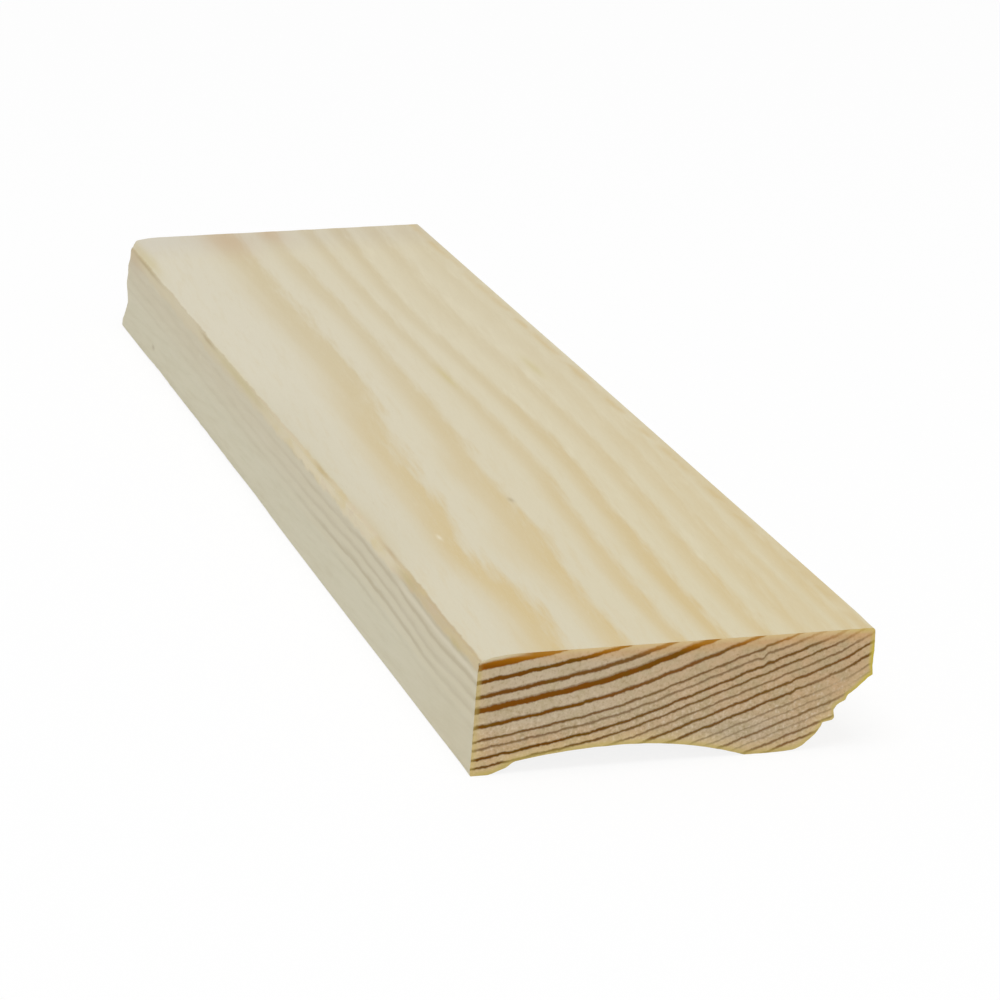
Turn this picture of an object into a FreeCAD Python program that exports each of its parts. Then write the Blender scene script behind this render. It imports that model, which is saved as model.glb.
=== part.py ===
import FreeCAD, Part
import math
import os
from types import SimpleNamespace

import Sketcher

# Moulded pine skirting board, a short cut length lying on its moulded face
# X runs across the board, from the floor edge to the top edge
# Y runs along the board, and Z goes up from the moulded face to the flat back
# The origin is on the supporting surface, under the middle of the board

# Driving dimensions, in millimetres, and in degrees for the lean
SIZES = {
    # The blank
    "board_length": 300.0,
    "board_width": 69.0,
    "board_thickness": 20.5,
    "floor_edge_lean": 3.35,
    # The foot at the floor edge and the cove beside it
    "foot_arris_radius": 0.4,
    "foot_width": 2.4,
    "foot_round_radius": 5.0,
    "cove_radius": 4.8,
    # The long hollow, whose crown is measured from the floor edge
    "hollow_depth": 3.45,
    "hollow_crown_offset": 25.8,
    "hollow_foot_side_radius": 115.0,
    # The bead, whose corner is measured from the floor edge
    "bead_offset": 46.9,
    "bead_round_radius": 4.5,
    # The nose at the top edge, whose run is measured from the top edge
    "nose_run": 14.2,
    "nose_radius": 60.0,
    "shoulder_radius": 2.5,
    "shoulder_height": 13.6,
    # The two arrises of the flat back
    "top_arris_radius": 0.6,
    "worn_arris_width": 8.0,
    "worn_arris_radius": 25.0,
    "back_corner_radius": 0.5,
}

# The sketch's own numbers for the points of a piece, and for its two axes
START, END, CENTRE = 1, 2, 3
HORIZONTAL_AXIS, VERTICAL_AXIS = -1, -2
ORIGIN = (HORIZONTAL_AXIS, START)


def make_sheet(doc):
    """Spreadsheet with one named cell for each driving dimension."""
    sheet = doc.addObject("Spreadsheet::Sheet", "Sizes")
    for row, (name, value) in enumerate(SIZES.items(), start=1):
        sheet.set("A%d" % row, name)
        sheet.set("B%d" % row, str(value))
        sheet.setAlias("B%d" % row, name)
    doc.recompute()
    return sheet


def origin_plane(body, role):
    """One of the body's own origin planes."""
    for feature in body.Origin.OriginFeatures:
        if feature.Role == role:
            return feature
    raise ValueError("no origin plane " + role)


def point(across, height):
    """Point of the section, across the board and up from its moulded face."""
    return FreeCAD.Vector(across, height, 0)


def towards(start, goal, distance):
    """Point at a distance from start, on the line towards goal."""
    return start + (goal - start).normalize() * distance


def reached_from(first, first_reach, second, second_reach):
    """Point at the given distances from two others, to the left of the line that joins them."""
    span = (second - first).Length
    along = (first_reach ** 2 - second_reach ** 2 + span ** 2) / (2 * span)
    aside = math.sqrt(first_reach ** 2 - along ** 2)
    direction = (second - first).normalize()
    left = point(-direction.y, direction.x)
    return first + direction * along + left * aside


class Outline:
    """Closed section outline, drawn as lines and arcs that follow one another."""

    def __init__(self, sketch, first_point):
        self.sketch = sketch
        self.first_point = first_point
        self.last_point = first_point
        self.pieces = {}

    def line(self, name, goal):
        """Straight piece from the last point to the goal."""
        index = self.sketch.addGeometry(Part.LineSegment(self.last_point, goal))
        self.pieces[name] = (index, START, END)
        self.last_point = goal

    def arc(self, name, centre, goal, rounds_out=True):
        """Arc from the last point to the goal, rounding the wood out or hollowing it."""
        radius = (self.last_point - centre).Length
        angles = [math.atan2(p.y - centre.y, p.x - centre.x) for p in (self.last_point, goal)]
        ends = (START, END)
        if not rounds_out:
            angles.reverse()
            ends = (END, START)
        circle = Part.Circle(centre, FreeCAD.Vector(0, 0, 1), radius)
        index = self.sketch.addGeometry(Part.ArcOfCircle(circle, *angles))
        self.pieces[name] = (index, *ends)
        self.last_point = goal

    def join(self, corners):
        """Join each piece to the next, smoothly unless the pair is a corner."""
        names = list(self.pieces)
        for name, after in zip(names, names[1:] + names[:1]):
            kind = "Coincident" if (name, after) in corners else "Tangent"
            self.fix(kind, *self.end(name), *self.start(after))

    def index(self, name):
        """Number of a piece in the sketch."""
        return self.pieces[name][0]

    def start(self, name):
        """Sketch reference of the point where a piece starts."""
        index, start, _ = self.pieces[name]
        return (index, start)

    def end(self, name):
        """Sketch reference of the point where a piece ends."""
        index, _, end = self.pieces[name]
        return (index, end)

    def centre(self, name):
        """Sketch reference of an arc's centre."""
        return (self.index(name), CENTRE)

    def fix(self, kind, *references):
        """Constraint that has no size."""
        self.sketch.addConstraint(Sketcher.Constraint(kind, *references))

    def size(self, kind, references, value, name, formula):
        """Constraint whose size follows a formula on the sheet."""
        number = self.sketch.addConstraint(Sketcher.Constraint(kind, *references, value))
        self.sketch.renameConstraint(number, name)
        self.sketch.setExpression("Constraints." + name, formula)

    def across(self, reference, name, formula):
        """Hold a point at its distance to the right of the section's middle."""
        place = self.sketch.getPoint(*reference).x
        self.size("DistanceX", (*ORIGIN, *reference), place, name, formula)

    def up(self, reference, name, formula):
        """Hold a point at its height over the supporting surface."""
        place = self.sketch.getPoint(*reference).y
        self.size("DistanceY", (*ORIGIN, *reference), place, name, formula)

    def radius(self, name, formula):
        """Hold an arc's radius."""
        value = self.sketch.Geometry[self.index(name)].Radius
        self.size("Radius", (self.index(name),), value, name + "_size", formula)


def arc_centres(size):
    """Centres of the section's arcs, each where its arc touches the pieces beside it."""
    right = size.board_width / 2
    left = -right
    foot_arris = point(left + size.foot_arris_radius, size.foot_arris_radius)
    foot_round = point(left + size.foot_width, size.foot_round_radius)

    # The two arcs of the hollow meet at its crown, and the second one ends at the bead's corner
    crown = point(left + size.hollow_crown_offset, size.hollow_depth)
    bead_corner = point(left + size.bead_offset, 0)
    half_hollow = bead_corner.x - crown.x
    bead_side_radius = (half_hollow ** 2 + crown.y ** 2) / (2 * crown.y)
    hollow_foot_side = crown - point(0, size.hollow_foot_side_radius)
    cove = reached_from(
        foot_round, size.foot_round_radius + size.cove_radius,
        hollow_foot_side, size.hollow_foot_side_radius - size.cove_radius,
    )

    # The nose runs from the round of the bead to the shoulder under the top edge
    bead_round = point(right - size.nose_run, size.bead_round_radius)
    shoulder = point(right - size.shoulder_radius, size.shoulder_height)
    nose = reached_from(
        bead_round, size.nose_radius - size.bead_round_radius,
        shoulder, size.nose_radius - size.shoulder_radius,
    )
    back = size.board_thickness
    top_arris = point(right - size.top_arris_radius, back - size.top_arris_radius)
    worn_arris = point(left + size.worn_arris_width, back - size.worn_arris_radius)

    # The back corner lies inside the worn arris, one radius in from the floor edge
    lean = math.radians(size.floor_edge_lean)
    up_the_edge = point(math.sin(lean), math.cos(lean))
    out_of_the_edge = point(-math.cos(lean), math.sin(lean))
    inset = foot_arris + out_of_the_edge * (size.foot_arris_radius - size.back_corner_radius)
    reach = size.worn_arris_radius - size.back_corner_radius
    climb = (worn_arris - inset).dot(up_the_edge)
    aside = (worn_arris - inset).dot(out_of_the_edge)
    back_corner = inset + up_the_edge * (climb + math.sqrt(reach ** 2 - aside ** 2))

    return SimpleNamespace(
        foot_arris=foot_arris, foot_round=foot_round, cove=cove, crown=crown,
        hollow_foot_side=hollow_foot_side, hollow_bead_side=crown - point(0, bead_side_radius),
        bead_corner=bead_corner, bead_round=bead_round, nose=nose, shoulder=shoulder,
        top_arris=top_arris, worn_arris=worn_arris, back_corner=back_corner,
        out_of_the_edge=out_of_the_edge,
    )


def lay_out(sketch, size):
    """Outline of the section, counter-clockwise from the foot at the floor edge."""
    at = arc_centres(size)
    right = size.board_width / 2
    back = size.board_thickness
    outline = Outline(sketch, point(at.foot_arris.x, 0))
    outline.line("foot", point(at.foot_round.x, 0))
    foot_round_end = towards(at.foot_round, at.cove, size.foot_round_radius)
    outline.arc("foot_round", at.foot_round, foot_round_end)
    cove_end = towards(at.hollow_foot_side, at.cove, size.hollow_foot_side_radius)
    outline.arc("cove", at.cove, cove_end, rounds_out=False)
    outline.arc("hollow_foot_side", at.hollow_foot_side, at.crown, rounds_out=False)
    outline.arc("hollow_bead_side", at.hollow_bead_side, at.bead_corner, rounds_out=False)
    outline.line("bead", point(at.bead_round.x, 0))
    outline.arc("bead_round", at.bead_round, towards(at.nose, at.bead_round, size.nose_radius))
    outline.arc("nose", at.nose, towards(at.nose, at.shoulder, size.nose_radius))
    outline.arc("shoulder", at.shoulder, point(right, at.shoulder.y))
    outline.line("top_edge", point(right, at.top_arris.y))
    outline.arc("top_arris", at.top_arris, point(at.top_arris.x, back))
    outline.line("back", point(at.worn_arris.x, back))
    worn_arris_end = towards(at.worn_arris, at.back_corner, size.worn_arris_radius)
    outline.arc("worn_arris", at.worn_arris, worn_arris_end)
    edge_top = at.back_corner + at.out_of_the_edge * size.back_corner_radius
    outline.arc("back_corner", at.back_corner, edge_top)
    edge_foot = at.foot_arris + at.out_of_the_edge * size.foot_arris_radius
    outline.line("floor_edge", edge_foot)
    outline.arc("foot_arris", at.foot_arris, outline.first_point)
    outline.join(corners=[("hollow_bead_side", "bead")])
    return outline


def dimension(outline, size):
    """Constraints that hold the outline to the sheet."""
    # The foot and the bead lie on the supporting surface
    for name in ("foot", "bead"):
        outline.fix("PointOnObject", *outline.start(name), HORIZONTAL_AXIS)
        outline.fix("PointOnObject", *outline.end(name), HORIZONTAL_AXIS)

    # The flat back and the two edges bound the blank
    outline.fix("Horizontal", outline.index("back"))
    outline.fix("Vertical", outline.index("top_edge"))
    outline.up(outline.start("back"), "thickness", "Sizes.board_thickness")
    outline.across(outline.end("top_edge"), "half_width", "Sizes.board_width / 2")
    foot_arris_place = "Sizes.foot_arris_radius - Sizes.board_width / 2"
    outline.across(outline.centre("foot_arris"), "foot_arris_place", foot_arris_place)
    edge_to_axis = (*outline.end("floor_edge"), VERTICAL_AXIS, START)
    lean = math.radians(size.floor_edge_lean)
    outline.size("Angle", edge_to_axis, lean, "lean", "Sizes.floor_edge_lean * 1 deg")

    # The foot, the hollow, the bead and the worn arris are set out from the floor edge
    crown = outline.end("hollow_foot_side")
    from_floor_edge = "Sizes.%s - Sizes.board_width / 2"
    outline.across(outline.end("foot"), "foot_place", from_floor_edge % "foot_width")
    outline.across(crown, "crown_place", from_floor_edge % "hollow_crown_offset")
    outline.across(outline.start("bead"), "bead_place", from_floor_edge % "bead_offset")
    outline.across(outline.end("back"), "worn_arris_place", from_floor_edge % "worn_arris_width")
    outline.up(crown, "crown_height", "Sizes.hollow_depth")
    outline.fix("Vertical", *crown, *outline.centre("hollow_foot_side"))

    # The nose is set out from the top edge
    outline.across(outline.end("bead"), "nose_place", "Sizes.board_width / 2 - Sizes.nose_run")
    outline.up(outline.start("top_edge"), "shoulder_place", "Sizes.shoulder_height")

    # Every other arc has a radius of its own
    rounded = (
        "foot_round", "cove", "hollow_foot_side", "bead_round", "nose", "shoulder",
        "top_arris", "worn_arris", "back_corner", "foot_arris",
    )
    for name in rounded:
        outline.radius(name, "Sizes.%s_radius" % name)


def make_board(doc, sheet):
    """The board: its moulded section, drawn upright and run along its length."""
    body = doc.addObject("PartDesign::Body", "SkirtingLength")
    body.Label = "skirting_length"
    section = body.newObject("Sketcher::SketchObject", "Section")
    section.AttachmentSupport = [(origin_plane(body, "XZ_Plane"), "")]
    section.MapMode = "FlatFace"
    size = SimpleNamespace(**{name: getattr(sheet, name) for name in SIZES})
    outline = lay_out(section, size)
    dimension(outline, size)
    board = body.newObject("PartDesign::Pad", "Board")
    board.Profile = section
    board.SideType = "Symmetric"
    board.setExpression("Length", "Sizes.board_length")
    body.Tip = board
    return body


def check(doc, bodies):
    """Stop if an object of the document failed or a body has no valid solid."""
    for item in doc.Objects:
        if "Invalid" in item.State or "Error" in item.State:
            raise RuntimeError("%s failed: %s" % (item.Label, item.State))
    for body in bodies:
        if body.Shape.isNull() or not body.Shape.isValid():
            raise RuntimeError(body.Label + " has no valid shape")


def main():
    """Build the board and write its solid."""
    doc = FreeCAD.newDocument("skirting_board")
    sheet = make_sheet(doc)
    bodies = [make_board(doc, sheet)]
    doc.recompute()
    check(doc, bodies)
    os.makedirs("parts", exist_ok=True)
    for body in bodies:
        body.Shape.exportStep("parts/%s.step" % body.Label)
        box = body.Shape.BoundBox
        print(body.Label, "%.3f x %.3f x %.3f mm" % (box.XLength, box.YLength, box.ZLength))


main()
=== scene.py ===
import math

import bmesh
import bpy
from mathutils import Matrix, Vector, kdtree, noise


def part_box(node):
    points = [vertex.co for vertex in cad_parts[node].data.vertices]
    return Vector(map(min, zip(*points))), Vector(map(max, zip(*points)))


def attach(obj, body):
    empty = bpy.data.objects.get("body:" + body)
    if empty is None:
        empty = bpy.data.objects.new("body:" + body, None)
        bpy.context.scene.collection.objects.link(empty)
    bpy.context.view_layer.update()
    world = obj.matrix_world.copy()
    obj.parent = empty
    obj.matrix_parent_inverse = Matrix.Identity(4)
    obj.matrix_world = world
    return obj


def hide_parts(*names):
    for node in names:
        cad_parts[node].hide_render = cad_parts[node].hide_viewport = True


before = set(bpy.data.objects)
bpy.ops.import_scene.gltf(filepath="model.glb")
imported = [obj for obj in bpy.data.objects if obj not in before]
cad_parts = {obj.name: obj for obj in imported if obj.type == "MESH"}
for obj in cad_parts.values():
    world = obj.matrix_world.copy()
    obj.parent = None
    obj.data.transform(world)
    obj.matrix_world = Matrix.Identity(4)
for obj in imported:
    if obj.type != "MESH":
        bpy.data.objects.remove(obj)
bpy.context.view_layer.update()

MM = 0.001
BOARD = "skirting_length"
LOWEST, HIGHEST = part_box(BOARD)
END = HIGHEST.y / MM
BACK = HIGHEST.z / MM
FLOOR_EDGE = LOWEST.x / MM

# Camera: where it stood in metres, how it was turned in degrees, and its lens in millimetres
CAMERA_PLACE = Vector((-0.21105, -0.78644, 0.24418))
CAMERA_YAW = -15.857
CAMERA_PITCH = 16.634
CAMERA_ROLL = 1.064
CAMERA_LENS = 156.22
CAMERA_SENSOR = 36.0

# Stage and light: metres for places and sizes, watts for the lamp, and parts of full white for how much the
# floor glows where it is seen and for the light of the studio around
FLOOR_SIZE = 4.0
FLOOR_GAP = 0.02 * MM
FLOOR_GLOW = 0.86
FLOOR_ROUGHNESS = 0.9
WORLD_LIGHT = 0.46
LAMP_PLACE = (-0.25, -0.4, 2.3)
LAMP_SIZE = 1.8
LAMP_POWER = 33

# From here on, lengths are in millimetres, across is x, along is y and height is z

# Mesh: size of the squares on the sawn ends, length of the finer zone beside them, rows along the board in
# such a zone and between them, how near a cut has to be to go through a point, and the angle of a sharp edge
END_CELL = 0.4
END_ZONE = 4.0
END_ROWS = 10
MIDDLE_ROWS = 100
SNAP = 0.03
SHARP_EDGE = math.radians(35)

# The solid's own mesh: how near points are merged, and up to which angle in radians an edge is taken out
MERGE = 0.001
FLAT_EDGE = 0.001

# Relief: how far the softer earlywood and the fuzz or the fibres are sunk, on the ends and on the long faces
SAWN_EARLYWOOD = 0.04
SAWN_FUZZ = 0.04
PLANED_EARLYWOOD = 0.02
PLANED_FIBRE = 0.015

# How fine the noise of that relief is, across, along and up
FUZZ_FINENESS = 1.7
FIBRE_FINENESS = (0.8, 0.02, 0.8)

# Height of the bumps of the fibres on the planed faces, and of the fuzz on the sawn ends, and their strength
FIBRE_BUMP = 0.02
FUZZ_BUMP = 0.12
BUMP_STRENGTH = 0.5

# The pine's gloss, the roughness of its planed faces, and how much rougher its sawn ends and its fibres are
PINE_GLOSS = 0.07
PLANED_ROUGHNESS = 0.68
SAWN_ROUGHNESS = 0.17
FIBRE_ROUGHNESS = 0.05

# How far a face has to look along the board to be finished as a sawn end, and up or down as the back
END_FACING = (0.45, 0.58)
BACK_FACING = (0.35, 0.55)

# Growth rings on the near end: an even climb across the board from the foot, and a steeper one past the bend
RING_CLIMB = 0.124
RING_FOOT = -33.3
BEND_START = -28.4
BEND_RUN = 29.5
BEND_CLIMB = 0.218

# Each ring's dark latewood: level of its sharp outer side, thickness, darkness, warmth
LATEWOOD = (
    (23.40, 0.90, 0.80, 0.9),
    (18.00, 1.45, 0.90, 1.0),
    (15.72, 0.75, 1.00, 0.3),
    (13.15, 0.85, 0.82, 0.35),
    (10.70, 1.20, 0.92, 0.5),
    (8.05, 0.75, 0.85, 0.4),
    (5.80, 0.50, 0.75, 0.2),
    (4.38, 0.48, 0.60, 0.1),
    (2.70, 0.58, 0.85, 0.2),
    (1.22, 0.50, 0.80, 0.2),
    (-0.42, 0.45, 0.65, 0.2),
    (-2.05, 0.58, 0.85, 0.3),
    (-3.93, 0.58, 0.85, 0.2),
    (-5.68, 0.40, 0.50, 0.1),
    (-7.03, 0.35, 0.40, 0.1),
    (-8.47, 0.50, 0.70, 0.3),
    (-9.78, 0.35, 0.35, 0.1),
    (-11.25, 0.50, 0.70, 0.3),
    (-12.65, 0.50, 0.75, 0.4),
    (-14.60, 0.45, 0.65, 0.3),
    (-16.70, 0.45, 0.60, 0.3),
    (-18.90, 0.45, 0.65, 0.3),
)

# From where to where a ring darkens on its sharp outer side, and fades on its inner side as parts of its
# thickness; then where its tan band on a planed face begins, is full and ends
SHARP_SIDE = (-0.12, 0.14)
SOFT_SIDE = (0.68, 1.14)
TAN_START = -0.85
TAN_FULL = -0.1
TAN_END = 1.25

# Small ripples in the rings: height, and how quickly they follow each other across, up and along the board
RIPPLES = ((0.05, 0.9, 0.5, 0.05), (0.03, 2.3, -1.7, 0.03))

# How far the rings move across the board along its length, and once more towards its far end
DRIFT = 6.2
DRIFT_LENGTH = 200
FAR_DRIFT = 1.7
FAR_DRIFT_START = 60
FAR_DRIFT_LENGTH = 110

# Places where the rings rise, or dip where the height is negative: across, along, width, length, height
RISES = (
    (-18, -95, 8, 20, 0.80),
    (-17, -38, 9, 45, 0.70),
    (-4, -90, 5, 16, -0.35),
    (-7, -46, 6, 12, 0.25),
    (4, -48, 6, 16, -0.30),
    (-19, -150, 8, 12, 0.25),
    (-35, -125, 6, 18, -1.10),
    (-35, -72, 5, 22, 0.75),
    (12, -50, 16, 55, -0.50),
    (15, 72, 10, 62, 0.90),
    (-3, 70, 6, 25, -0.35),
    (36, -150, 5, 60, 1.20),
)

# How far the fibres move across the board, and down, in each millimetre along it
GRAIN_SLANT = 0.07
GRAIN_FALL = 0.08

# Place where the rings of the ends nearly fade away: across, height, width, depth
PLAIN_WOOD = (29.5, 10.9, 5.0, 2.0)

# Kinks in the thin rings of the near end: across, height, and how sharply the rings step up there
KINKS = ((15.5, 17.2, 0.60), (20.6, 10.8, 0.40))
KINK_WIDTH = 0.75
KINK_HEIGHT = 2.0
KINK_LENGTH = 8.0

# Marks on the planed faces, by where they are and how far they reach along each axis
DARK_MARKS = (
    ((-4.5, -66.5, BACK), (0.5, 1.4, 1.0)),
    ((FLOOR_EDGE, 114.7, 4.0), (1.0, 1.3, 0.5)),
)
OLIVE_MARKS = (
    ((25.0, 22.0, BACK), (0.9, 8.0, 1.0)),
    ((6.0, 18.0, BACK), (0.8, 8.0, 1.0)),
    ((-32.3, 133.0, 19.8), (1.3, 16.0, 1.5)),
    ((-33.4, -136.0, 17.9), (1.0, 3.5, 0.6)),
    ((-33.2, -103.0, 18.9), (1.0, 6.0, 0.7)),
    ((-33.3, 30.0, 18.7), (1.0, 26.0, 0.9)),
    ((-33.2, -36.0, 19.9), (1.0, 18.0, 0.7)),
)
PALE_MARKS = (
    ((-23.0, -86.0, BACK), (0.4, 1.6, 1.0)),
    ((FLOOR_EDGE, 67.5, 14.1), (1.0, 1.2, 0.4)),
    ((FLOOR_EDGE, 114.0, 16.7), (1.0, 4.0, 0.3)),
)
PINK_MARKS = (
    ((-12.0, 142.0, BACK), (5.0, 15.0, 3.0)),
    ((-1.0, 147.0, BACK), (3.0, 9.0, 3.0)),
    ((FLOOR_EDGE, 140.0, 18.0), (2.0, 9.0, 2.5)),
)

# Worn arris between the back and the floor edge: across and height, how wide the wear is and how deep,
# in long waves and in short ones
ARRIS = (-33.2, 19.4)
ARRIS_WIDTH = 1.2
ARRIS_LONG_WEAR = 0.16
ARRIS_SHORT_WEAR = 0.13

# How quickly the long and the short waves of wear follow each other along the board
LONG_WAVE = 0.12
SHORT_WAVE = 0.4

# Painted shade in a groove along the worn arris, in short dark stretches: along, length
SHADED_GROOVES = ((128, 15), (-90, 6), (-38, 6), (62, 7))

# Torn nose at the near end: where the nose starts, the directions along it and into the wood,
# and how deep the edge is torn at each distance along it
NOSE_START = (23.08, 0.96)
NOSE_RUN = Vector((0.70, 0, 0.714))
NOSE_IN = Vector((-0.714, 0, 0.70))
TORN_NOSE = (
    (-4.5, 0.0), (-2.6, 0.30), (2.3, 0.30), (3.9, 0.65), (4.5, 1.0), (6.0, 0.0), (6.5, 0.1), (7.4, 1.35),
    (8.6, 1.35), (9.9, 0.75), (10.6, 1.1), (12.8, 0.6), (15.2, 0.2), (16.0, -0.2), (16.9, 0.4), (18.4, 0.35),
    (19.4, 0.0),
)
TEAR_LENGTH = 3.2
TEAR_REACH = 4.0

# Wear of the foot's arris: its width, and along, length and depth of each worn stretch
FOOT_WIDTH = 1.5
FOOT_WEAR = ((12, 14, 0.15), (60, 60, 0.30), (108, 10, 0.15))

# Splinters that the saw left under the foot at the near end: across, height, size and how far they stand out
SPLINTERS = ((-28.5, 1.5, 1.1, 0.40), (-33.5, 0.0, 2.0, 0.12))

# Arris between the back and the top edge: across and height, how wide it is, and how far it stands out from
# its rounding
SHARP_ARRIS = (34.1, 20.1)
SHARP_WIDTH = 0.5
SHARP_LIFT = 0.18

# Where it does so: how far from the near end that begins, and over what length it comes up;
# then the place along the board where it is gone, and over what length it fades
SHARP_BEGINS = 3
SHARP_RISE = 5
SHARP_ENDS = 100
SHARP_FALL = 80

# Broken corner at the far end: how much length is lost on the floor edge at each height, and how far across
BROKEN_EDGE = (
    (0, 0), (1.5, 0), (3, 1.9), (5, 4.0), (7, 6.0), (9, 4.7), (11, 3.4), (13, 4.8), (15, 4.8), (17, 7.4),
    (18.6, 7.6), (19.3, 9.0), (20.5, 11.0),
)
BREAK_REACH = 3.6

# Far saw cut that isn't quite square: length lost on the floor edge, how far across that fades, and the
# height from which it is lost in full
FAR_SLANT = 1.7
SLANT_REACH = 66.0
SLANT_HEIGHT = 8.25

# Length of board over which what is lost at the far end is taken up
BREAK_SPREAD = 34.0


# Arithmetic that works on plain numbers and on the nodes of a finish alike

class Value:
    """A number or colour that varies over a finish: one output socket of its nodes."""

    def __init__(self, finish, socket):
        self.finish = finish
        self.socket = socket

    def __add__(self, other):
        return self.finish.maths("ADD", self, other)

    def __radd__(self, other):
        return self.finish.maths("ADD", other, self)

    def __sub__(self, other):
        return self.finish.maths("SUBTRACT", self, other)

    def __rsub__(self, other):
        return self.finish.maths("SUBTRACT", other, self)

    def __mul__(self, other):
        return self.finish.maths("MULTIPLY", self, other)

    def __rmul__(self, other):
        return self.finish.maths("MULTIPLY", other, self)

    def __truediv__(self, other):
        return self.finish.maths("DIVIDE", self, other)


class Finish:
    """The nodes of a material or of the world, all made by one method."""

    def __init__(self, owner):
        owner.use_nodes = True
        self.owner = owner
        self.tree = owner.node_tree
        self.tree.nodes.clear()

    def node(self, kind, settings=None, inputs=None, output=0):
        """Add a node and give one of its outputs, or the node itself where it has none."""
        node = self.tree.nodes.new(kind)
        for name, setting in (settings or {}).items():
            setattr(node, name, setting)
        for name, given in (inputs or {}).items():
            if isinstance(given, Value):
                self.tree.links.new(given.socket, node.inputs[name])
            else:
                node.inputs[name].default_value = given
        return Value(self, node.outputs[output]) if node.outputs else node

    def maths(self, operation, first, second=0.0, clamped=False):
        """One operation on one or two numbers."""
        settings = {"operation": operation, "use_clamp": clamped}
        return self.node("ShaderNodeMath", settings, {0: first, 1: second})

    def blend(self, amount, first, second, mode="MIX"):
        """The first colour where the amount is 0, and the second where it is 1."""
        settings = {"data_type": "RGBA", "blend_type": mode, "clamp_factor": True}
        return self.node("ShaderNodeMix", settings, {0: amount, 6: first, 7: second}, 2)

    def position(self):
        """The place on the board, in millimetres."""
        place = self.node("ShaderNodeTexCoord", output="Object")
        return self.node("ShaderNodeVectorMath", {"operation": "MULTIPLY"}, {0: place, 1: (1 / MM,) * 3})

    def parts(self, vector):
        """The three numbers of a vector."""
        split = self.node("ShaderNodeSeparateXYZ", inputs={0: vector})
        return [Value(self, socket) for socket in split.socket.node.outputs]

    def joined(self, x, y, z):
        """A vector made of three numbers."""
        return self.node("ShaderNodeCombineXYZ", inputs={0: x, 1: y, 2: z})

    def noise(self, vector, stretch, detail=2.0, roughness=0.5, offset=(0, 0, 0)):
        """Soft noise from 0 to 1, whose waves are short where the stretch is large."""
        moved = self.node("ShaderNodeMapping", inputs={0: vector, "Location": offset, "Scale": stretch})
        settings = {"noise_dimensions": "3D"}
        inputs = {"Vector": moved, "Scale": 1.0, "Detail": detail, "Roughness": roughness}
        return self.node("ShaderNodeTexNoise", settings, inputs)

    def attribute(self, name):
        """A number that the mesh holds for each of its points."""
        return self.node("ShaderNodeAttribute", {"attribute_name": name}, output="Fac")

    def seen(self):
        """1 for what the camera and reflections see, and 0 for the light that falls on things."""
        camera = self.node("ShaderNodeLightPath", output="Is Camera Ray")
        rays = camera.socket.node.outputs
        return clamp(camera + Value(self, rays["Is Glossy Ray"]) + Value(self, rays["Is Transmission Ray"]))

    def surface(self, shader, output="ShaderNodeOutputMaterial"):
        """Finish the owner with a shader, and give the owner."""
        self.node(output, inputs={"Surface": shader})
        return self.owner


def clamp(value):
    """The value, kept between 0 and 1."""
    if isinstance(value, Value):
        return value.finish.maths("ADD", value, 0.0, clamped=True)
    return min(max(value, 0.0), 1.0)


def positive(value):
    """The value, or 0 where it is negative."""
    if isinstance(value, Value):
        return value.finish.maths("MAXIMUM", value, 0.0)
    return max(value, 0.0)


def sine(value):
    """The sine of a value in radians."""
    if isinstance(value, Value):
        return value.finish.maths("SINE", value)
    return math.sin(value)


def bell(value):
    """A smooth hump, 1 in its middle and nearly 0 two units away."""
    squared = value * value * -1.0
    if isinstance(value, Value):
        return value.finish.maths("EXPONENT", squared)
    return math.exp(squared)


def slope(value, low, high, start=0.0, goal=1.0, kind="LINEAR"):
    """A step from start, where the value is low, to goal, where it is high."""
    if isinstance(value, Value):
        places = {"Value": value, "From Min": low, "From Max": high, "To Min": start, "To Max": goal}
        return value.finish.node("ShaderNodeMapRange", {"interpolation_type": kind}, places)
    step = clamp((value - low) / (high - low))
    if kind == "SMOOTHSTEP":
        step = step * step * (3 - 2 * step)
    return start + (goal - start) * step


def fade(value, low, high):
    """1 where the value is low, and 0 where it is high."""
    return slope(value, low, high, 1.0, 0.0)


def ease(value):
    """A soft step from 0 to 1."""
    return slope(value, 0.0, 1.0, kind="SMOOTHSTEP")


# The wood's growth rings, as one level that falls from the heart side to the bark side

def ring_climb(across):
    """How much higher a ring is here than at the foot."""
    bend = clamp((across - BEND_START) / BEND_RUN)
    beyond = positive(across - (BEND_START + BEND_RUN))
    bent = BEND_RUN * bend * bend * bend * (1 - 0.5 * bend) + beyond
    return RING_CLIMB * (across - RING_FOOT) + BEND_CLIMB * bent


def ring_drift(along):
    """The tree isn't straight: its rings move across the board along its length."""
    near = DRIFT * ease((along + END) / DRIFT_LENGTH)
    return near + FAR_DRIFT * ease((along - FAR_DRIFT_START) / FAR_DRIFT_LENGTH)


def ring_level(x, y, z):
    """Which ring a place belongs to, as the height where that ring meets the floor edge on the near end."""
    level = z - ring_climb(x - ring_drift(y))
    for across, along, width, length, height in RISES:
        level = level - height * (bell((x - across) / width) * bell((y - along) / length))
    for across, height, step in KINKS:
        side = (x - across) / KINK_WIDTH
        kink = side * bell(side) * bell((z - height) / KINK_HEIGHT)
        level = level - step * (kink * bell((y + END) / KINK_LENGTH))
    for height, across, up, along in RIPPLES:
        level = level + height * sine(across * x + up * z + along * y)
    return level


def latewood(level):
    """How dark the wood is, and how warm, at a level of its growth rings."""
    dark = 0.0
    warm = 0.0
    for edge, thickness, darkness, warmth in LATEWOOD:
        outer = slope(level, edge + SHARP_SIDE[0], edge + SHARP_SIDE[1], 0.0, darkness)
        inner = fade(level, edge + SOFT_SIDE[0] * thickness, edge + SOFT_SIDE[1] * thickness)
        band = outer * inner
        dark = dark + band
        warm = warm + band * warmth
    return dark, warm


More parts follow.
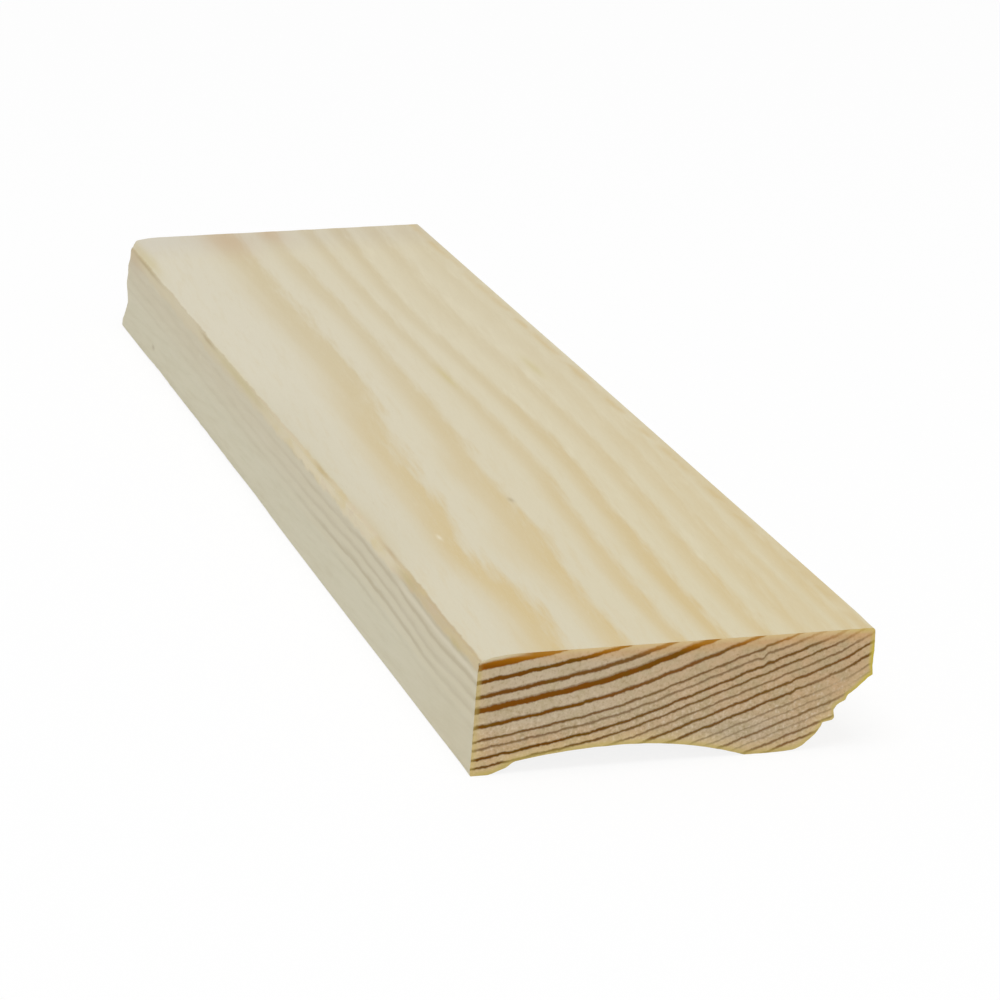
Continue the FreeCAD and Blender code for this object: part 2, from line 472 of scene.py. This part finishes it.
def tan_wood(level, lift=0.0):
    """How tan a planed face is at a level: broad soft bands, steeper on each ring's outer side."""
    tan = 0.0
    for edge, thickness, darkness, warmth in LATEWOOD:
        strength = (0.25 + 0.75 * darkness) * (0.3 + 0.7 * min(thickness, 1.0))
        place = edge + lift * slope(edge, 14, 16)
        outer = slope(level, place + TAN_START, place + TAN_FULL, 0.0, strength, "SMOOTHSTEP")
        inner = slope(level, place, place + TAN_END, 1.0, 0.0, "SMOOTHSTEP")
        tan = tan + outer * inner
    return tan


# Mesh of the board

def steps(low, high, size):
    """Places between two others, at even steps of about a size."""
    count = round((high - low) / size)
    return [low + (high - low) * k / count for k in range(1, count)]


def slice_across(bm, place, direction):
    """Cut all edges and faces where they cross a plane."""
    geometry = bm.verts[:] + bm.edges[:] + bm.faces[:]
    bmesh.ops.bisect_plane(bm, geom=geometry, dist=SNAP * MM, plane_co=place, plane_no=direction)


def long_edges(bm, low, high):
    """The edges along the board whose middle is between two places."""
    found = []
    for edge in bm.edges:
        first, second = edge.verts[0].co, edge.verts[1].co
        middle = (first.y + second.y) / 2
        if abs(first.y - second.y) > MM and low < middle < high:
            found.append(edge)
    return found


def fine_board():
    """The board's solid, cut into small squares on its ends and narrow strips along its faces."""
    bm = bmesh.new()
    bm.from_mesh(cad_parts[BOARD].data)
    bmesh.ops.remove_doubles(bm, verts=bm.verts, dist=MERGE * MM)
    bmesh.ops.dissolve_limit(bm, angle_limit=FLAT_EDGE, verts=bm.verts, edges=bm.edges)
    for x in steps(LOWEST.x, HIGHEST.x, END_CELL * MM):
        slice_across(bm, Vector((x, 0, 0)), Vector((1, 0, 0)))
    for z in steps(LOWEST.z, HIGHEST.z, END_CELL * MM):
        slice_across(bm, Vector((0, 0, z)), Vector((0, 0, 1)))
    zone = HIGHEST.y - END_ZONE * MM
    for y in (-zone, zone):
        slice_across(bm, Vector((0, y, 0)), Vector((0, 1, 0)))
    near = long_edges(bm, LOWEST.y, -zone)
    middle = long_edges(bm, -zone, zone)
    far = long_edges(bm, zone, HIGHEST.y)
    bmesh.ops.subdivide_edges(bm, edges=near, cuts=END_ROWS - 1, use_grid_fill=True)
    bmesh.ops.subdivide_edges(bm, edges=middle, cuts=MIDDLE_ROWS - 1, use_grid_fill=True)
    bmesh.ops.subdivide_edges(bm, edges=far, cuts=END_ROWS - 1, use_grid_fill=True)
    return bm


def between(points, place):
    """The value at a place on a line drawn through the points."""
    for (left, low), (right, high) in zip(points, points[1:]):
        if left <= place <= right:
            return low + (high - low) * (place - left) / (right - left)
    return 0.0


def tear(x, y, z):
    """How far the nose is torn away, in millimetres, inwards across the nose."""
    place = Vector((x - NOSE_START[0], 0, z - NOSE_START[1]))
    along_nose = place.dot(NOSE_RUN)
    depth = between(TORN_NOSE, along_nose)
    ragged = noise.noise(Vector((along_nose * 0.9, 3.1, 0)))
    length = TEAR_LENGTH * (0.7 + 0.5 * ragged)
    near = 1 - clamp((y + END) / length)
    return depth * near * (1 - clamp(place.dot(NOSE_IN) / TEAR_REACH))


def broken(x, y, z):
    """How much length is lost at the far end, to its broken corner and to its askew saw cut."""
    near_edge = 1 - clamp((x - FLOOR_EDGE) / BREAK_REACH)
    askew = FAR_SLANT * (1 - clamp((x - FLOOR_EDGE) / SLANT_REACH)) * clamp(z / SLANT_HEIGHT)
    lost = max(between(BROKEN_EDGE, z) * near_edge, askew)
    return lost * clamp(1 - (END - y) / BREAK_SPREAD)


def worn(x, y, z):
    """How far an edge is sunk where it is worn, or stands out where the value is negative."""
    arris = bell((x - ARRIS[0]) / ARRIS_WIDTH) * bell((z - ARRIS[1]) / ARRIS_WIDTH)
    long_waves = noise.noise(Vector((0, y * LONG_WAVE, 4.0)))
    short_waves = noise.noise(Vector((0, y * SHORT_WAVE, 9.0)))
    sunk = arris * (ARRIS_LONG_WEAR * (1 + long_waves) + ARRIS_SHORT_WEAR * (1 + short_waves))
    foot = bell((x - FLOOR_EDGE) / FOOT_WIDTH) * bell(z / FOOT_WIDTH)
    for along, length, depth in FOOT_WEAR:
        sunk += foot * depth * bell((y - along) / length) * (1 + 0.4 * short_waves)
    for across, height, size, out in SPLINTERS:
        splinter = bell((x - across) / size) * bell((z - height) / size)
        sunk -= out * splinter * bell((y + END) / TEAR_LENGTH)
    sharp = bell((x - SHARP_ARRIS[0]) / SHARP_WIDTH) * bell((z - SHARP_ARRIS[1]) / SHARP_WIDTH)
    rise = clamp((y + END - SHARP_BEGINS) / SHARP_RISE)
    return sunk - SHARP_LIFT * sharp * rise * clamp((SHARP_ENDS - y) / SHARP_FALL)


def relief(x, y, z, side, on_end):
    """How far the saw, the plane, wear and damage have moved a point of the board."""
    soft = 1 - min(latewood(ring_level(x, y, z))[0], 1.0)
    move = Vector((0, 0, 0))
    if on_end:
        fuzz = noise.noise(Vector((x * FUZZ_FINENESS, y, z * FUZZ_FINENESS)))
        move.y -= math.copysign(SAWN_EARLYWOOD * soft + SAWN_FUZZ * (1 + fuzz), y)
    fibre = noise.noise(Vector((x, y, z)) * Vector(FIBRE_FINENESS))
    move -= side * (PLANED_EARLYWOOD * soft + PLANED_FIBRE * (1 + fibre) + worn(x, y, z))
    if y < 0:
        move += NOSE_IN * tear(x, y, z)
    else:
        move.y -= broken(x, y, z)
    return move


def sides_and_ends(bm):
    """Which way the long faces look at each point, and the points that are on a sawn end."""
    sides = {}
    on_end = set()
    for vert in bm.verts:
        side = Vector((0, 0, 0))
        for face in vert.link_faces:
            if abs(face.normal.y) > 0.5:
                on_end.add(vert)
            else:
                side += face.normal
        sides[vert] = side.normalized()
    return sides, on_end


def rim_finder(points):
    """A search tree for the nearest of the points where a sawn end meets the long faces."""
    tree = kdtree.KDTree(len(points))
    for index, vert in enumerate(points):
        tree.insert(vert.co, index)
    tree.balance()
    return tree


def board_mesh():
    """The board with its relief, wear and damage, all inside the box of its solid."""
    bm = fine_board()
    rim_distance = bm.verts.layers.float.new("rim_distance")
    bm.normal_update()
    sides, on_end = sides_and_ends(bm)
    for edge in bm.edges:
        edge.smooth = edge.calc_face_angle(0.0) < SHARP_EDGE
    rims = rim_finder([vert for vert in on_end if sides[vert].length > 0.5])
    for vert in bm.verts:
        vert[rim_distance] = rims.find(vert.co)[2] / MM if vert in on_end else 0.0
        vert.co += relief(*(vert.co / MM), sides[vert], vert in on_end) * MM
        vert.co = Vector(min(max(place, low), high) for place, low, high in zip(vert.co, LOWEST, HIGHEST))
    for face in bm.faces:
        face.smooth = True
    bm.normal_update()
    mesh = bpy.data.meshes.new("pine_board")
    bm.to_mesh(mesh)
    bm.free()
    return mesh


# Finishes

def paint(red, green, blue):
    """A colour written as it shows on a screen, from 0 to 255, as the light values that Blender mixes."""
    shown = (red / 255, green / 255, blue / 255)
    light = [c / 12.92 if c <= 0.04045 else ((c + 0.055) / 1.055) ** 2.4 for c in shown]
    return (*light, 1.0)


# Earlywood of the back and the moulded face: left and right, near and far, and its palest streaks
CREAM_LEFT_NEAR = paint(215, 207, 183)
CREAM_LEFT_FAR = paint(217, 210, 189)
CREAM_RIGHT_NEAR = paint(216, 205, 173)
CREAM_RIGHT_FAR = paint(217, 207, 179)
CREAM_STREAK = paint(224, 215, 188)

# Latewood of the back and the moulded face
TAN_NEAR = paint(211, 191, 146)
TAN_FAR = paint(209, 195, 161)

# Painted shade that darkens the back at its far end, and a darker tone of the back beside the worn arris
FAR_PAINTED_SHADE = (0.95, 0.95, 0.99, 1)
LEFT_SHADE = (0.95, 0.95, 0.94, 1)

# The floor edge and the top edge
EDGE_LOW = paint(219, 213, 189)
EDGE_HIGH = paint(217, 208, 183)
EDGE_NEAR = paint(214, 204, 176)
EDGE_DARK_STREAK = paint(208, 199, 172)
EDGE_PALE_STREAK = paint(224, 217, 196)
EDGE_LINE = paint(190, 176, 144)
EDGE_PALE_LINE = paint(224, 216, 190)

# The worn arris and its patches, the shade on its side to the back, painted shade in a groove along it, and
# wear on the right arris
STRIP_EDGE = paint(229, 220, 197)
STRIP = paint(230, 218, 188)
STRIP_NEAR = paint(213, 196, 160)
STRIP_YELLOW = paint(224, 207, 158)
STRIP_PINK = paint(218, 197, 172)
STRIP_FAR = paint(217, 206, 178)
STRIP_SHADE = (0.82, 0.80, 0.79, 1)
# Painted shade of the groove along the worn arris
GROOVE_SHADE = paint(184, 164, 128)
RIGHT_WEAR = paint(206, 184, 136)

# Fibres of the planed faces
DARK_FIBRE = paint(176, 158, 118)
PALE_FIBRE = paint(226, 219, 198)

# Marks of the planed faces: where they are, how strongly they show, and their colour
MARKS = (
    (PINK_MARKS, 0.45, paint(200, 172, 142)),
    (OLIVE_MARKS, 0.40, paint(200, 184, 120)),
    (DARK_MARKS, 0.50, paint(168, 152, 122)),
    (PALE_MARKS, 0.60, paint(233, 226, 205)),
)

# Earlywood of the sawn ends: its two main colours, its patches and fuzz, how it pales towards the rim, and a
# painted highlight along the rim at the back
SAWN_TAN = paint(210, 179, 139)
SAWN_GREY = paint(207, 190, 162)
SAWN_PATCH = paint(192, 174, 136)
PALE_FUZZ = paint(228, 210, 182)
DARK_FUZZ = paint(160, 132, 92)
LOWER_RIM = paint(236, 211, 152)
WARM_TOP = paint(226, 174, 106)
UPPER_RIM_HIGHLIGHT = paint(234, 206, 156)

# Latewood of the sawn ends: thin and thick rings, golden patches, and the tips of the rings at the back
RING_BROWN = paint(98, 65, 15)
RING_ORANGE = paint(146, 82, 4)
RING_GOLDEN = paint(112, 84, 14)
RING_TIP = paint(184, 116, 12)

# Rims of the sawn ends: a painted highlight on the worn arris, and yellower rims below and on the nose
WORN_RIM_HIGHLIGHT = paint(222, 208, 176)
RIM_BELOW = paint(208, 189, 110)
RIM_NOSE = paint(210, 191, 84)

FLOOR_PAINT = paint(252, 252, 252)
WHITE = (1, 1, 1, 1)


def marks(x, y, z, places):
    """A mask of soft spots on the planed faces."""
    mask = 0.0
    for (across, along, height), (width, length, depth) in places:
        spot = bell((x - across) / width) * bell((y - along) / length) * bell((z - height) / depth)
        mask = mask + spot
    return clamp(mask)


def back_colour(pine, place, streak, x, y, level):
    """Pale earlywood and tan latewood of the back and the moulded face, in slanting streaks."""
    broad = pine.noise(place, (0.12, 0.012, 0.12), offset=(4, 2, 1))
    tan = clamp(tan_wood(level + (streak - 0.5) * 0.9, 0.55) * (0.55 + 0.9 * streak))
    faint = bell((y - 55) / 50) * slope(x, 2, 12)
    tan = tan * (1 - 0.35 * faint)
    far = slope(y, -120, 40)
    left = pine.blend(far, CREAM_LEFT_NEAR, CREAM_LEFT_FAR)
    right = pine.blend(far, CREAM_RIGHT_NEAR, CREAM_RIGHT_FAR)
    early = pine.blend(slope(x, -26, 16), left, right)
    late = pine.blend(far, TAN_NEAR, TAN_FAR)
    early = pine.blend(slope(streak, 0.5, 0.75, 0.0, 0.3), early, late)
    early = pine.blend(slope(streak, 0.28, 0.48, 0.45, 0.0) * slope(x, 4, 16), early, CREAM_STREAK)
    colour = pine.blend(tan * (0.85 + 0.4 * broad), early, late)
    # Painted shade towards the far end of the back
    colour = pine.blend(slope(y, 126, 142), colour, FAR_PAINTED_SHADE, "MULTIPLY")
    beside = fade(x, -34, -22) * slope(y, -110, -85) * fade(y, 0, 30)
    return pine.blend(beside, colour, LEFT_SHADE, "MULTIPLY")


def edge_colour(pine, place, streak, y, z, level):
    """The floor edge and the top edge: even and pale, with soft grey-brown lines towards the near end."""
    wobble = pine.noise(place, (0.3, 0.08, 0.3), detail=5.0, roughness=0.7, offset=(3, 8, 5)) - 0.5
    patch = pine.noise(place, (0.3, 0.025, 0.3), offset=(9, 3, 7))
    tan = tan_wood(level + wobble * 1.5 - 0.3)
    line = clamp(tan * 1.7 - 0.75) * clamp(patch * 3 - 0.75)
    near_line = slope(z, 6.5, 9.5) * slope(y, -60, 0, 1.0, 0.2)
    colour = pine.blend(slope(z, 8, 14), EDGE_LOW, EDGE_HIGH)
    colour = pine.blend(slope(y, -150, -95, 0.6, 0.0), colour, EDGE_NEAR)
    colour = pine.blend(slope(streak, 0.5, 0.72, 0.0, 0.4), colour, EDGE_DARK_STREAK)
    colour = pine.blend(slope(streak, 0.28, 0.5, 0.4, 0.0), colour, EDGE_PALE_STREAK)
    colour = pine.blend(line * near_line * 0.65, colour, EDGE_LINE)
    pale_line = clamp(0.35 - tan) * near_line
    return pine.blend(pale_line * 1.5, colour, EDGE_PALE_LINE)


def strip_colour(pine, tone, around, near, far):
    """Tan of the worn strip along the arris, in yellow and pink patches and paler towards the far end."""
    colour = pine.blend(near, STRIP, STRIP_NEAR)
    colour = pine.blend(slope(tone, 0.5, 0.66, 0.0, 0.5), colour, STRIP_YELLOW)
    colour = pine.blend(slope(tone, 0.3, 0.42, 0.4, 0.0), colour, STRIP_PINK)
    colour = pine.blend(far * 0.8, colour, STRIP_FAR)
    return pine.blend(slope(around, -0.15, 0.2), colour, STRIP_SHADE, "MULTIPLY")


def worn_colour(pine, place, x, y, z, colour):
    """The worn strip along the arris of the floor edge, painted shade in a groove along it, and the wear on
    the right arris.
    """
    wave = pine.noise(place, (0.02, 0.16, 0.02), detail=3.0, roughness=0.6, offset=(8, 1, 2)) - 0.5
    tone = pine.noise(place, (0.3, 0.09, 0.3), detail=3.0, roughness=0.55, offset=(2, 6, 4))
    around = (x - ARRIS[0]) + (z - ARRIS[1])
    near = fade(y, -106, -92)
    far = slope(y, -30, 25)
    pale_line = bell((around + 3.1 + wave) / 0.5) * near
    colour = pine.blend(pale_line * 0.7, colour, STRIP_EDGE)
    lower = slope(around + far * 0.7 - near * 0.3 + wave * 3.0, -2.6, -1.7)
    wider = clamp(near * 0.25 + bell((y + 52) / 60))
    upper = fade(around - 0.9 * wider + wave * 1.5, 0.1, 0.5)
    colour = pine.blend(lower * upper, colour, strip_colour(pine, tone, around, near, far))
    # Painted shade: a thin dark line in a groove along the arris, in short stretches
    groove = bell((around - slope(y, -15, 25, 0.6, -0.45) + wave * 0.8) / 0.5)
    shaded_stretch = 0.0
    for along, length in SHADED_GROOVES:
        shaded_stretch = shaded_stretch + bell((y - along) / length)
    colour = pine.blend(groove * clamp(shaded_stretch) * 0.65, colour, GROOVE_SHADE)
    right = bell((x - 32.6) / 0.9) * bell((z - BACK) / 1.5) * clamp(tone * 4 - 1.4)
    return pine.blend(right * 0.6, colour, RIGHT_WEAR)


def planed_colour(pine, place, x, y, z, level, flat_sawn):
    """The planed and moulded faces, with their fibres, worn arrises and small marks."""
    slanting = pine.joined(x - GRAIN_SLANT * y, y, z + GRAIN_FALL * y)
    fibre = pine.noise(slanting, (5.0, 0.07, 5.0), detail=3.0, roughness=0.65)
    streak = pine.noise(slanting, (0.7, 0.035, 0.7), detail=4.0, roughness=0.65)
    edge = edge_colour(pine, place, streak, y, z, level)
    colour = pine.blend(flat_sawn, edge, back_colour(pine, place, streak, x, y, level))
    colour = pine.blend(slope(fibre, 0.58, 0.83) * 0.16, colour, DARK_FIBRE)
    colour = pine.blend(slope(fibre, 0.19, 0.44, 0.2, 0.0), colour, PALE_FIBRE)
    colour = worn_colour(pine, place, x, y, z, colour)
    for places, strength, tint in MARKS:
        colour = pine.blend(marks(x, y, z, places) * strength, colour, tint)
    return colour, fibre


def under_back(z):
    """1 on most of a sawn end, and 0 close to the back."""
    return fade(z, BACK - 3.5, BACK - 1.5)


def sawn_earlywood(pine, place, x, z, fuzz, distance):
    """Fuzzy earlywood of a sawn end: tan with grey areas, paler towards its rim, and with a painted
    highlight along the rim at the back.
    """
    patch = pine.noise(place, (0.3, 0.3, 0.3), offset=(7, 1, 3))
    grey = bell((x + 22) / 22) * slope(z, 5, 9) + bell((x - 11) / 11) * bell((z - 4.3) / 3)
    colour = pine.blend(clamp(grey) * 0.85, SAWN_TAN, SAWN_GREY)
    colour = pine.blend(slope(patch, 0.42, 0.64) * 0.6, colour, SAWN_PATCH)
    colour = pine.blend(slope(fuzz, 0.52, 0.7) * slope(z, 7, 15, 1.0, 0.35), colour, PALE_FUZZ)
    colour = pine.blend(slope(fuzz, 0.27, 0.47, 0.75, 0.0), colour, DARK_FUZZ)
    lower_rim = fade(distance, 0.5, 2.8) * under_back(z) * slope(z, 5, 8, 0.55, 0.25)
    colour = pine.blend(lower_rim, colour, LOWER_RIM)
    warm_top = slope(z, BACK - 2.5, BACK - 1.3) * slope(x, -26, -20)
    colour = pine.blend(warm_top * 0.35, colour, WARM_TOP)
    # Painted highlight: a pale line along the rim at the back
    return pine.blend(slope(z, BACK - 1.0, BACK - 0.15, 0.0, 0.8), colour, UPPER_RIM_HIGHLIGHT)


def sawn_latewood(pine, place, z, warm):
    """Brown latewood of a sawn end: warmer in the thick rings, and bright at the ring tips near the back."""
    golden = pine.noise(place, (0.25, 0.25, 0.25), offset=(1, 5, 9))
    colour = pine.blend(clamp(warm * 1.3), RING_BROWN, RING_ORANGE)
    colour = pine.blend(slope(golden, 0.42, 0.67, 0.0, 0.6), colour, RING_GOLDEN)
    return pine.blend(slope(z, 18.6, BACK - 0.6, 0.0, 0.85), colour, RING_TIP)


def sawn_colour(pine, place, x, z, level):
    """The two sawn ends: latewood and earlywood, with a yellower rim and a painted highlight on the worn
    arris.
    """
    rough_edge = pine.noise(place, (1.6, 0.03, 1.6), detail=3.0, roughness=0.6) - 0.5
    dark, warm = latewood(level + rough_edge * 0.5)
    plain = bell((x - PLAIN_WOOD[0]) / PLAIN_WOOD[2]) * bell((z - PLAIN_WOOD[1]) / PLAIN_WOOD[3])
    faint = slope(x, 19, 27) * slope(z, 17.6, 19.4)
    dark = dark * (1 - 0.8 * plain) * (1 - 0.5 * faint)
    fuzz = pine.noise(place, (1.5, 1.5, 1.5), detail=4.0, roughness=0.75)
    distance = pine.attribute("rim_distance")
    early = sawn_earlywood(pine, place, x, z, fuzz, distance)
    late = sawn_latewood(pine, place, z, warm)
    colour = pine.blend(clamp(dark * slope(x, -20, -5, 1.2, 1.1)), early, late)
    # Painted highlight along the rim of the end on the worn arris
    rim_highlight = fade(distance, 0.3, 0.7) * fade(x, -29, -24) * slope(z, 18.8, 19.4)
    colour = pine.blend(rim_highlight * 0.9, colour, WORN_RIM_HIGHLIGHT)
    nose = slope(x, 27, 33)
    foot = bell((x + 31) / 4) * fade(z, 0, 2)
    rim = fade(distance, 0.25, 1.0) * slope(x, -33.6, -32.8, 0.6, 1.0)
    rim = rim * (0.15 + 0.5 * under_back(z) + 0.35 * nose + 0.2 * foot)
    return pine.blend(rim, colour, pine.blend(nose, RIM_BELOW, RIM_NOSE)), fuzz


def planed_pine():
    """The board's one material: planed faces and sawn ends, told apart by the way they look."""
    pine = Finish(bpy.data.materials.new("planed_pine"))
    place = pine.position()
    x, y, z = pine.parts(place)
    direction = pine.parts(pine.node("ShaderNodeNewGeometry", output="True Normal"))
    sawn = slope(pine.maths("ABSOLUTE", direction[1]), *END_FACING)
    flat_sawn = slope(pine.maths("ABSOLUTE", direction[2]), *BACK_FACING)
    level = ring_level(x, y, z)
    planed, fibre = planed_colour(pine, place, x, y, z, level, flat_sawn)
    end_grain, fuzz = sawn_colour(pine, place, x, z, level)
    colour = pine.blend(sawn, planed, end_grain)
    roughness = PLANED_ROUGHNESS + SAWN_ROUGHNESS * sawn + FIBRE_ROUGHNESS * fibre
    height = fibre * FIBRE_BUMP + sawn * fuzz * FUZZ_BUMP
    bumps = {"Strength": BUMP_STRENGTH, "Distance": MM, "Height": height}
    normal = pine.node("ShaderNodeBump", inputs=bumps)
    wood = {"Base Color": colour, "Roughness": roughness, "Normal": normal}
    wood["Specular IOR Level"] = PINE_GLOSS
    return pine.surface(pine.node("ShaderNodeBsdfPrincipled", inputs=wood))


def pale_floor():
    """Pale paint that keeps the board's shadow and looks white to the camera and in reflections."""
    floor = Finish(bpy.data.materials.new("pale_floor"))
    coat = {"Base Color": FLOOR_PAINT, "Roughness": FLOOR_ROUGHNESS}
    matt = floor.node("ShaderNodeBsdfPrincipled", inputs=coat)
    glow = floor.node("ShaderNodeEmission", inputs={"Color": WHITE, "Strength": 1.0})
    amount = floor.seen() * FLOOR_GLOW
    return floor.surface(floor.node("ShaderNodeMixShader", inputs={0: amount, 1: matt, 2: glow}))


# Stage, light and camera

def make_floor():
    """A wide pale floor, just under the board."""
    place = Matrix.Translation((0, 0, -FLOOR_GAP))
    bm = bmesh.new()
    bmesh.ops.create_grid(bm, x_segments=2, y_segments=2, size=FLOOR_SIZE, matrix=place)
    mesh = bpy.data.meshes.new("floor")
    bm.to_mesh(mesh)
    bm.free()
    floor = bpy.data.objects.new("floor", mesh)
    floor.data.materials.append(pale_floor())
    bpy.context.scene.collection.objects.link(floor)


def make_lamp(name, place, target, size, power):
    """A round soft lamp that is turned to its target."""
    lamp = bpy.data.lights.new(name, "AREA")
    lamp.shape = "DISK"
    lamp.size = size
    lamp.energy = power
    holder = bpy.data.objects.new(name, lamp)
    aim = Vector(target) - Vector(place)
    holder.matrix_world = Matrix.Translation(place) @ aim.to_track_quat("-Z", "Y").to_matrix().to_4x4()
    bpy.context.scene.collection.objects.link(holder)


def make_light():
    """A white studio, full white where it is seen and softer where it lights things, and one lamp above."""
    world = bpy.data.worlds.new("studio")
    bpy.context.scene.world = world
    studio = Finish(world)
    strength = slope(studio.seen(), 0.0, 1.0, WORLD_LIGHT, 1.0)
    backdrop = studio.node("ShaderNodeBackground", inputs={"Color": WHITE, "Strength": strength})
    studio.surface(backdrop, "ShaderNodeOutputWorld")
    make_lamp("soft_box", LAMP_PLACE, (0, 0, 0), LAMP_SIZE, LAMP_POWER)


def make_camera():
    """The camera that took the photograph, as the board's outline gives it."""
    camera = bpy.data.cameras.new("camera")
    camera.sensor_width = CAMERA_SENSOR
    camera.lens = CAMERA_LENS
    camera.clip_start = 0.01
    holder = bpy.data.objects.new("camera", camera)
    turn = Matrix.Rotation(math.radians(CAMERA_YAW), 4, "Z")
    tilt = Matrix.Rotation(math.radians(90 - CAMERA_PITCH), 4, "X")
    roll = Matrix.Rotation(math.radians(CAMERA_ROLL), 4, "Z")
    holder.matrix_world = Matrix.Translation(CAMERA_PLACE) @ turn @ tilt @ roll
    bpy.context.scene.collection.objects.link(holder)
    bpy.context.scene.camera = holder


def make_board():
    """The one visible piece, in the place of the board's solid."""
    board = bpy.data.objects.new("pine_board", board_mesh())
    bpy.context.scene.collection.objects.link(board)
    board.data.materials.append(planed_pine())
    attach(board, "root")
    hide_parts(BOARD)


make_camera()
make_floor()
make_light()
make_board()
bpy.context.scene.view_settings.view_transform = "Standard"
